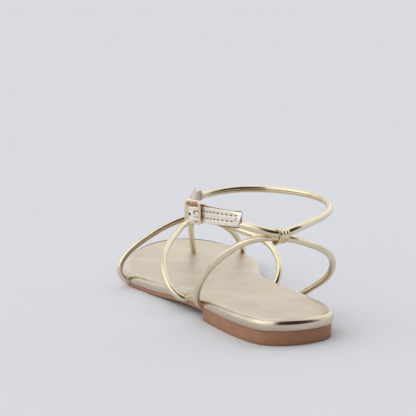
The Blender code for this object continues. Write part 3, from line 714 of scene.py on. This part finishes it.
def build_heel_loop(gold):
    piece = Piece()
    gathered_band(piece, LOOP, LOOP_ACROSS, 2.05, STRAP_RADIUS, loop_reach, 2.8,
                  lambda angle: 0.5 + 0.9 * max(0.0, sin(angle - 0.4)), 1.75, inside=FACE)
    piece.build("heel_loop_band", [gold], ["heel_loop"], sharp=1.0)


def build_toe_post(gold, lining):
    """Toe post, and the band in which its leather goes on round the crossing."""
    piece = Piece()
    points = route(POST_ROUTE)
    travelled = lengths_along(points)
    tube(piece, points, POST_RADIUS * (1 + 0.01 * np.sin(travelled * 0.4)), (20.0, 150.0, 20.0))
    gathered_band(piece, CROSSING, CROSSING_ACROSS, 1.6, STRAP_RADIUS, lambda angle: 4.0, 4.0,
                  lambda angle: 0.35, 1.55)
    piece.build("toe_post_band", [gold, lining], ["toe_post"], sharp=1.0)


# Tabs and buckle

def plan_point(along, out, z=0.0):
    """A point from its distance from the buckle's middle, along the strap and outwards."""
    return BUCKLE_CENTRE + BUCKLE_ALONG * along + BUCKLE_OUT * out + np.array((0.0, 0.0, z))


class Strip:
    """Leather on edge along a plan route, addressed by distance along it and by height."""

    def __init__(self, table, middle, half, rounds=3):
        self.line = relaxed(even(catmull(table, 16), 0.35), rounds)
        self.travelled = lengths_along(self.line)
        run = unit(np.gradient(self.line, axis=0))
        self.normal = np.stack([-run[:, 1], run[:, 0]], 1)
        self.middle = middle
        self.half = half

    @property
    def length(self):
        return self.travelled[-1]

    def at(self, s, share, off):
        """Points at distances s, at shares of the half height, off the middle surface."""
        s, share, off = np.broadcast_arrays(s, share, off)
        inside = np.clip(s, 0, self.length)
        plan = [np.interp(inside, self.travelled, column) for column in self.line.T]
        normal = [np.interp(inside, self.travelled, column) for column in self.normal.T]
        return np.stack([plan[0] + normal[0] * off, plan[1] + normal[1] * off,
                         self.middle(inside) + self.half(inside) * share], -1)


def layer(piece, strip, offset, start, end, folds=None, trim=None,
          kinds=(FACE, LINING, CUT_EDGE), lining_and_shade_ends=(0.0, 0.0), raw_from=0.0, grooves=None,
          wear_and_painted_shade=None):
    """One layer of leather on a strip, with softly rounded cut edges.

    start and end give its ends from the share of height, and trim cuts it lower. kinds are the
    finishes of its outer face, inner face and cut edge. The argument after kinds is how far from each
    end the outer face takes the lining finish, as lining and as painted shade on a flared gold petal,
    and its edges do too, nearer than raw_from to an end. grooves gives the heights of pressed lines
    from the distance, and the last argument how much painted shade darkens the faces.
    """
    shares = np.concatenate([[0, 0.012, 0.035, 0.07], np.linspace(0.11, 0.89, 15),
                             [0.93, 0.965, 0.988, 1]])
    count = max(12, round(strip.length / 0.8))
    along = np.concatenate([[0, 0.004, 0.012], np.linspace(0.02, 0.98, count), [0.988, 0.996, 1]])
    share, along = np.meshgrid(2 * shares - 1, along)
    first, last = start(share), end(share)
    s = first + (last - first) * along
    height = strip.half(s)
    border = np.minimum.reduce([(share + 1) * height, (1 - share) * height, s - first, last - s])
    edge = np.clip(border / 0.32, 0, 1)
    body = LEATHER / 2 * np.maximum(np.sqrt(1 - (1 - edge) ** 2), 0.35)
    share = trim(s, share) if trim else share
    fold = folds(s, share) if folds else 0.0
    dip = 0.0
    for groove in grooves(s) if grooves else ():
        dip = dip + 0.14 * np.exp(-((share * height - groove) / 0.35) ** 2)
    outer = strip.at(s, share, offset + fold + body - dip)
    inner = strip.at(s, share, offset + fold - body)
    from_end = np.minimum(s, strip.length - s)
    edge_kind = np.where(from_end < raw_from, kinds[1], kinds[2])
    # The faces are darkened by painted shade, as the last argument gives
    mark = wear_and_painted_shade(s) if wear_and_painted_shade else 0.0
    # Near the ends the outer face takes the lining finish: lining, and painted shade on a flared gold
    # petal
    plain = (s < lining_and_shade_ends[0]) | (s > strip.length - lining_and_shade_ends[1])
    for points, kind in ((outer, np.where(plain, kinds[1], kinds[0])), (inner, kinds[1])):
        piece.grid(points, kind=np.where(border < 0.1, edge_kind, kind), mark=mark)
    for take in (lambda a: a[0], lambda a: a[-1], lambda a: a[:, 0], lambda a: a[:, -1]):
        piece.grid(np.stack([take(outer), take(inner)]), kind=take(edge_kind)[None, :])


def stitch(piece, a, b, out):
    """One stitch of thread from a to b, bedded in the leather."""
    a, b = np.asarray(a), np.asarray(b)
    run = unit(b - a)
    side = np.cross(run, out)
    rings = []
    for t in np.linspace(0, 1, 7):
        swell = max(0.3, (1 - (2 * t - 1) ** 4)) * STITCH_WIDTH
        centre = a + (b - a) * t + out * (0.12 * (1 - (2 * t - 1) ** 2) - 0.04)
        rings.append([centre + (side * cos(k * pi / 4) + out * sin(k * pi / 4)) * swell
                      for k in range(8)])
    piece.grid(np.array(rings), wrap_columns=True, caps=True, kind=THREAD)


def stitch_row(piece, strip, off, spots, folds, pitch=2.4, length=1.45):
    """Stitches along a line of (distance, height) spots on a folded strip."""
    spots = even(np.array(spots, float), pitch)
    for (s0, h0), (s1, h1) in zip(spots, spots[1:]):
        trim = (1 - length / pitch) / 2
        ends = [(s0 + (s1 - s0) * t, h0 + (h1 - h0) * t) for t in (trim, 1 - trim)]
        a, b = (strip.at(s, h / TAB_HALF_HEIGHT, off + folds(s, h / TAB_HALF_HEIGHT))
                for s, h in ends)
        mid = strip.at((s0 + s1) / 2, 0.0, np.array([0.0, 1.0]))
        stitch(piece, a, b, unit(mid[1] - mid[0]))


def cutter_from(name, low, high, kind):
    """A cutter between two matching rings of points. kind is the finish of what it cuts."""
    bm = bmesh.new()
    low = [bm.verts.new(point * MM) for point in low]
    high = [bm.verts.new(point * MM) for point in high]
    for k in range(len(low)):
        nxt = (k + 1) % len(low)
        bm.faces.new((low[k], low[nxt], high[nxt], high[k]))
    bm.faces.new(low[::-1])
    bm.faces.new(high)
    for face in bm.faces:
        face.material_index = kind
    bmesh.ops.recalc_face_normals(bm, faces=bm.faces)
    mesh = bpy.data.meshes.new(name)
    bm.to_mesh(mesh)
    bm.free()
    cutter = bpy.data.objects.new(name, mesh)
    bpy.context.scene.collection.objects.link(cutter)
    return cutter


def cylinder_cutter(name, a, b, radius):
    """A cutter for a round hole, whose wall takes the dark thread finish as painted shade in the
    hole.
    """
    run = unit(b - a)
    side = unit(np.cross(run, (0.3, 0.2, 1.0)))
    other = np.cross(run, side)
    turns = 2 * pi * np.arange(HOLE_SIDES) / HOLE_SIDES
    ring = (side * np.cos(turns)[:, None] + other * np.sin(turns)[:, None]) * radius
    return cutter_from(name, a + ring, b + ring, THREAD)


def slot_cutter(name, low, high, out, half_height):
    """A cutter for an upright slot, between two places along the buckle."""
    rings = [np.array([plan_point(along, side, z) for side, z in
                       ((out[0], -half_height), (out[1], -half_height),
                        (out[1], half_height), (out[0], half_height))]) for along in (low, high)]
    return cutter_from(name, *rings, CUT_EDGE)


def pin_route():
    """The pin hooks round the centre bar and rests on the rear bar of the frame."""
    points = []
    for k in range(17):
        angle = -5 * pi / 6 + 4 * pi / 3 * k / 16
        points.append(plan_point(PIN_HOOK_RADIUS * cos(angle),
                                 -FRAME_BOW + PIN_HOOK_RADIUS * sin(angle)))
    rest = BAR_RADIUS + 0.3 + PIN_RADIUS
    points.append(plan_point(-FRAME_HALF_LENGTH + 0.8, rest - 0.1))
    points.append(plan_point(-FRAME_HALF_LENGTH - 1.2, rest))
    return np.array(points)


def build_buckle(metal):
    loop = []
    corner = FRAME_CORNER
    half_length, half_height = FRAME_HALF_LENGTH, FRAME_HALF_HEIGHT
    for index, (side, end) in enumerate(((-1, -1), (1, -1), (1, 1), (-1, 1))):
        for angle in np.linspace(0, pi / 2, 9) + pi + pi / 2 * index:
            loop.append((side * (half_length - corner) + corner * cos(angle),
                         end * (half_height - corner) + corner * sin(angle)))
    loop = np.array(loop + loop[:1])
    loop = even(loop, 0.45)[:-1]
    points = np.array([plan_point(along, -FRAME_BOW * (1 - (along / half_length) ** 2), z)
                       for along, z in loop])
    run = unit(np.roll(points, -1, axis=0) - np.roll(points, 1, axis=0))
    out = unit(BUCKLE_OUT - (run @ BUCKLE_OUT)[:, None] * run)
    side = np.cross(run, out)
    angles = np.linspace(0, 2 * pi, 21)[:-1]
    square = (np.abs(np.cos(angles)) ** 3 + np.abs(np.sin(angles)) ** 3) ** (-1 / 3)
    rings = points[:, None] + BAR_RADIUS * (
        out[:, None] * (np.cos(angles) * square * 0.85)[None, :, None]
        + side[:, None] * (np.sin(angles) * square)[None, :, None])
    piece = Piece()
    piece.grid(rings, wrap_rows=True, wrap_columns=True)
    bar = even(np.array([plan_point(0.0, -FRAME_BOW, end * half_height) for end in (-1, 1)]), 1.0)
    tube(piece, bar, np.full(len(bar), CENTRE_BAR_RADIUS), plan_point(3, 0), seam=0.0)
    piece.build("buckle_frame_metal", [metal], ["buckle_frame"], sharp=1.2)
    pin = Piece()
    points = relaxed(even(pin_route(), 0.3), 2)
    from_tip = lengths_along(points[::-1])[::-1]
    radii = PIN_RADIUS * np.maximum(0.25, np.sqrt(np.clip(from_tip / 0.5, 0, 1)))
    tube(pin, points, radii, plan_point(-3, -5), seam=0.0)
    pin.build("buckle_pin_metal", [metal], ["buckle_pin"], sharp=1.2)


def build_strap_tab(finishes):
    """Two stitched layers: under the rear bar, over the centre bar, under the front bar."""
    under, over = -STRAP_DEPTH_AT_BARS, STRAP_RISE_AT_CENTRE
    between = (under + over) / 2
    at_buckle = [(-FRAME_HALF_LENGTH, under), (-FRAME_HALF_LENGTH / 2, between), (0.0, over),
                 (FRAME_HALF_LENGTH / 2, between), (FRAME_HALF_LENGTH, under)]
    table = STRAP_TAB_REAR + [tuple(plan_point(a, o)[:2]) for a, o in at_buckle] + STRAP_TAB_TIP

    def middle(s):
        return BUCKLE_CENTRE[2] + 1.1 * (smooth_step((s - 1.5) / 18.0) - 1)

    strip = Strip(table, middle, lambda s: np.full_like(s, TAB_HALF_HEIGHT, dtype=float))

    def rounded_end(share):
        return strip.length - 3.6 * (1 - np.sqrt(np.clip(1 - np.abs(share) ** 2.2, 0, 1)))

    def mouth(s, share):
        return 1.95 * (1 - smooth_step((s - 1.0) / 7.0)) * (1 - 0.5 * share ** 2)

    def outer_trim(s, share):
        low = np.interp(s, (3.0, 8.0, 20.0), (0.75, 0.82, 1.0))
        high = np.interp(s, (10.0, 19.0, 27.0, 31.0), (0.97, 0.92, 0.80, 0.69))
        return share * np.where(share > 0, high, low)

    def rows(s):
        return (np.interp(s, (3.4, 27.0, 33.0), (2.35, 1.4, 0.7)),
                np.interp(s, (5.6, 27.0, 33.0), (-0.9, -2.05, -2.3)))

    def slanted_end(share):
        return 0.7 + 1.25 * (1 - share)

    def straight_end(s):
        return lambda share: s + 0 * share

    # Painted shade on the inner layer where the outer layer is cut away beside the frame's rear bar
    def painted_bar_shade(s):
        return 1.0 * ((s > STITCH_PAUSE[0]) & (s < STITCH_PAUSE[1]))

    piece = Piece()
    for start, end in ((slanted_end, straight_end(OUTER_LAYER_GAP[0])),
                       (straight_end(OUTER_LAYER_GAP[1]), rounded_end)):
        layer(piece, strip, LAYER_OFFSET, start, end, folds=mouth, trim=outer_trim, grooves=rows)
    layer(piece, strip, -LAYER_OFFSET, straight_end(2.1), rounded_end,
          folds=lambda s, share: -mouth(s, share), kinds=(CUT_EDGE, LINING, CUT_EDGE),
          wear_and_painted_shade=painted_bar_shade)
    face = LAYER_OFFSET + LEATHER / 2 - 0.05
    for index, first in enumerate((3.4, 5.6)):
        for low, high in ((first, STITCH_PAUSE[0]), (STITCH_PAUSE[1], LAST_STITCH)):
            spots = [(s, rows(s)[index]) for s in np.linspace(low, high, 9)]
            stitch_row(piece, strip, face, spots, mouth)
    stitch_row(piece, strip, face, [(3.9, 1.6), (5.3, -0.6)], mouth, pitch=1.1, length=0.8)
    cutters = [cylinder_cutter("free_hole", plan_point(0.1, 0.9, FREE_HOLE_HEIGHT),
                               plan_point(-0.3, 5.0, FREE_HOLE_HEIGHT), FREE_HOLE_RADIUS),
               cylinder_cutter("pin_hole", plan_point(0.3, -0.03), plan_point(-4.5, 1.27),
                               PIN_HOLE_RADIUS)]
    piece.build("strap_tab_leather", finishes, ["strap_tab"], cutters=cutters)


def build_buckle_tab(finishes):
    """A strip folded round the centre bar, flared where it takes in the ankle strap's end."""
    eye = plan_point(0.0, -FRAME_BOW)[:2]
    below = plan_point(FRAME_HALF_LENGTH, -STRAP_DEPTH_AT_BARS - 1.7)[:2]
    towards = unit(below - eye)
    aside = np.array((-towards[1], towards[0]))
    turn = [eye + EYE_RADIUS * (towards * cos(a) + aside * sin(a))
            for a in np.linspace(5.38, 0.9, 9)]
    line = relaxed(even(catmull(BUCKLE_TAB_ROUTE + [tuple(below)], 12), 1.0), 2)
    run = unit(np.gradient(line, axis=0))
    outward_way = np.stack([run[:, 1], -run[:, 0]], 1)
    inner, outer = line - outward_way * FOLD_HALF_GAP, line + outward_way * FOLD_HALF_GAP
    folded = np.vstack([inner, turn, outer[::-1]])
    total = lengths_along(folded)[-1]

    def from_end(s):
        return np.minimum(s, total - s)

    def wave(d):
        return np.sin(2 * pi * d / PETAL_RIPPLE + 0.8)

    def top(s):
        """The upper edge dips and rises in two petals at the flared end."""
        inner_top = np.interp(s, (4.2, 5.2, 6.3, 8.3, 9.5, 12.0, 24.0, 38.0),
                              (67.6, 69.0, 70.1, 69.2, 69.5, 70.3, 70.2, 69.1))
        outer_top = np.interp(total - s, (3.8, 4.6, 6.5, 8.5, 10.3, 11.6, 14.0, 24.0, 38.0),
                              (66.6, 68.1, 69.2, 70.6, 71.7, 71.0, 70.7, 70.4, 69.1))
        return np.where(s < total / 2, inner_top, outer_top)

    def low(s):
        return np.interp(from_end(s), (3.8, 5.0, 10.0, 14.0, 38.0), (64.6, 64.2, 63.9, 63.2, 60.7))

    def folds(s, share):
        """Both layers open like petals that close again at their tips."""
        d = from_end(s)
        outer_opening = np.interp(share, (-1.0, -0.8, 0.3, 1.0), (3.6, 4.9, 4.3, 2.6))
        inner_opening = np.interp(share, (-1.0, -0.6, 0.4, 1.0), (1.5, 2.6, 2.5, 1.9))
        ripple = 0.3 * wave(d) * np.exp(-((d - 5.0) / 5.5) ** 2)
        return (np.where(s > total / 2, outer_opening * (1 - smooth_step((d - 3.5) / 8.5)),
                         inner_opening * (1 - smooth_step((d - 3.0) / 8.0)))
                + ripple * (0.7 + 0.3 * share))

    # Painted shade in the creases of the petals' ripple near the flared end
    def painted_crease_shade(s):
        d = from_end(s)
        return 0.5 * (0.5 - 0.5 * wave(d)) * np.exp(-((d - 5.0) / 6.5) ** 2)

    tab = Strip(folded, lambda s: (top(s) + low(s)) / 2, lambda s: (top(s) - low(s)) / 2, rounds=1)
    piece = Piece()
    # The inner layer's outer face is lining for 36 mm from its end; the outer layer's last 15 mm take
    # the lining finish as painted shade on the gold petal
    layer(piece, tab, 0.0, lambda share: 4.2 + 0.9 * share ** 2,
          lambda share: tab.length - 3.8 - 0.9 * share ** 2, folds=folds,
          lining_and_shade_ends=(36.0, 15.0), raw_from=34.0, wear_and_painted_shade=painted_crease_shade)
    slot = slot_cutter("pin_slot", -3.4, 2.6, (-4.2, 1.8), PIN_RADIUS + 0.3)
    piece.build("buckle_tab_leather", finishes, ["buckle_tab"], cutters=[slot])


def build_ankle_strap(gold):
    points = route(ANKLE_ROUTE)
    pressed = ends_pressed(points, ANKLE_END_LENGTH)
    forward = smooth_step((points[:, 1] + 15) / 50)
    radii = ANKLE_BACK_RADIUS + (ANKLE_FRONT_RADIUS - ANKLE_BACK_RADIUS) * forward
    piece = Piece()
    tube(piece, points, radii * (1 - ANKLE_END_THINNING * pressed), (-3.0, 17.0, 64.0))
    piece.build("ankle_strap_tube", [gold], ["ankle_strap"])


# Studio

FLOOR_COLOUR = (0.785, 0.79, 0.83, 1.0)
BACKDROP_COLOUR = (0.765, 0.775, 0.815)
ROOM_LIGHT = (0.90, 0.905, 0.92)
PANEL_LIGHT = (1.15, 1.15, 1.14)
OPENING_LIGHT = (0.045, 0.037, 0.03)
SUN_SPREAD = 70.0
SUNS = (("key", (-1.0, -0.3, 1.1), 0.45), ("fill", (0.9, 0.8, 1.3), 0.25))

# Middle, half width, soft border, lower edge and upper edge, in degrees
BRIGHT_PANEL = (-108.0, 25.0, 14.0, 8.0, 45.0)
DARK_OPENING = (20.0, 38.0, 12.0, 4.0, 72.0)

def make_floor():
    bm = bmesh.new()
    bmesh.ops.create_circle(bm, cap_ends=True, segments=96, radius=80.0)
    mesh = bpy.data.meshes.new("floor")
    bm.to_mesh(mesh)
    bm.free()
    floor = bpy.data.objects.new("floor", mesh)
    bpy.context.scene.collection.objects.link(floor)
    material, f, shader = new_finish("studio_floor")
    f.feed(shader, {"Base Color": FLOOR_COLOUR, "Roughness": 1.0, "Specular IOR Level": 0.0})
    mesh.materials.append(material)


def panel(f, azimuth, height, middle, half, soft, low, high):
    """1 within a panel of the studio's surroundings, given in degrees, and 0 outside it."""
    off_middle = f.sum("ABSOLUTE", f.sum("SUBTRACT", azimuth, radians(middle)))
    sides = f.add("ShaderNodeMapRange", {0: off_middle, 1: radians(half), 2: radians(half + soft),
                                         3: 1.0, 4: 0.0}, interpolation_type="SMOOTHSTEP")
    over = f.add("ShaderNodeMapRange", {0: height, 1: sin(radians(low - 2)),
                                        2: sin(radians(low + 2)), 3: 0.0, 4: 1.0})
    under = f.add("ShaderNodeMapRange", {0: height, 1: sin(radians(high - 3)),
                                         2: sin(radians(high + 3)), 3: 1.0, 4: 0.0})
    return f.sum("MULTIPLY", sides.outputs[0],
                 f.sum("MULTIPLY", over.outputs[0], under.outputs[0]))


def make_surroundings():
    """A bright room with a brighter panel and a dark opening, which the gold mirrors."""
    world = bpy.data.worlds.new("studio")
    world.use_nodes = True
    bpy.context.scene.world = world
    f = Finish(world.node_tree)
    backdrop = world.node_tree.nodes["Background"]
    way = f.add("ShaderNodeTexCoord").outputs["Generated"]
    parts = f.add("ShaderNodeSeparateXYZ", {0: way})
    height = parts.outputs[2]
    azimuth = f.sum("ARCTAN2", parts.outputs[0], f.sum("MULTIPLY", parts.outputs[1], -1.0))
    light = f.mix(panel(f, azimuth, height, *BRIGHT_PANEL), ROOM_LIGHT, PANEL_LIGHT)
    light = f.mix(panel(f, azimuth, height, *DARK_OPENING), light, OPENING_LIGHT)
    seen = f.add("ShaderNodeLightPath").outputs["Is Camera Ray"]
    light = f.mix(seen, light, BACKDROP_COLOUR)
    f.tree.links.new(light, backdrop.inputs["Color"])


def make_lights():
    """Two wide soft lights, from the left and from behind on the right."""
    for name, place, strength in SUNS:
        data = bpy.data.lights.new(name, "SUN")
        data.angle = radians(SUN_SPREAD)
        data.energy = strength
        lamp = bpy.data.objects.new(name, data)
        bpy.context.scene.collection.objects.link(lamp)
        lamp.location = place
        lamp.rotation_euler = (-Vector(place)).to_track_quat("-Z", "Y").to_euler()
    bpy.context.scene.view_settings.view_transform = "Standard"


def main():
    make_camera()
    grain = leather_grain_effect()
    scuffs = scuff_effect()
    gold = leather_finish("gold_foil_leather", grain, scuffs, (0.70, 0.60, 0.43),
                          (0.80, 0.72, 0.55), 0.18, 0.22, 0.45)
    footbed_gold = leather_finish("gold_footbed_leather", grain, scuffs, (0.61, 0.52, 0.395),
                                  (0.70, 0.61, 0.485), 0.2, 0.25, 0.4, satin=0.24)
    # A rougher copy of the gold leather for the tabs, whose lighter colour is painted light for the
    # brighter light that falls on them
    tab_gold_painted_light = leather_finish("gold_tab_leather_painted_light", grain, scuffs, (0.84, 0.77, 0.64),
                              (0.92, 0.87, 0.76), 0.38, 0.3, 0.4)
    lining = raw_finish("lining_leather", grain, (0.70, 0.59, 0.51), (0.82, 0.72, 0.64))
    raw = raw_finish("cut_edge", grain, (0.30, 0.15, 0.07), (0.42, 0.24, 0.13))
    thread = raw_finish("thread", grain, (0.12, 0.085, 0.05), (0.18, 0.13, 0.08), 0.6)
    rubber = sole_finish(scuffs)
    metal = metal_finish(scuffs)

    entering = entering_straps()
    build_footbed(footbed_gold, entering)
    build_sole(rubber, entering)
    sole_strap("front_strap", FRONT_ROUTE, (-3.0, 120.0, 8.0), gold, ["instep_straps"])
    sole_strap("middle_strap", MIDDLE_ROUTE, (-3.0, 100.0, 8.0), gold, ["instep_straps"])
    sole_strap("heel_strap_tube", HEEL_ROUTE, (0.0, 20.0, 30.0), gold, ["heel_strap"])
    build_ankle_strap(gold)
    build_heel_loop(gold)
    build_toe_post(gold, lining)
    build_strap_tab([tab_gold_painted_light, lining, raw, thread])
    build_buckle_tab([tab_gold_painted_light, lining, raw, thread])
    build_buckle(metal)
    make_floor()
    make_surroundings()
    make_lights()


main()
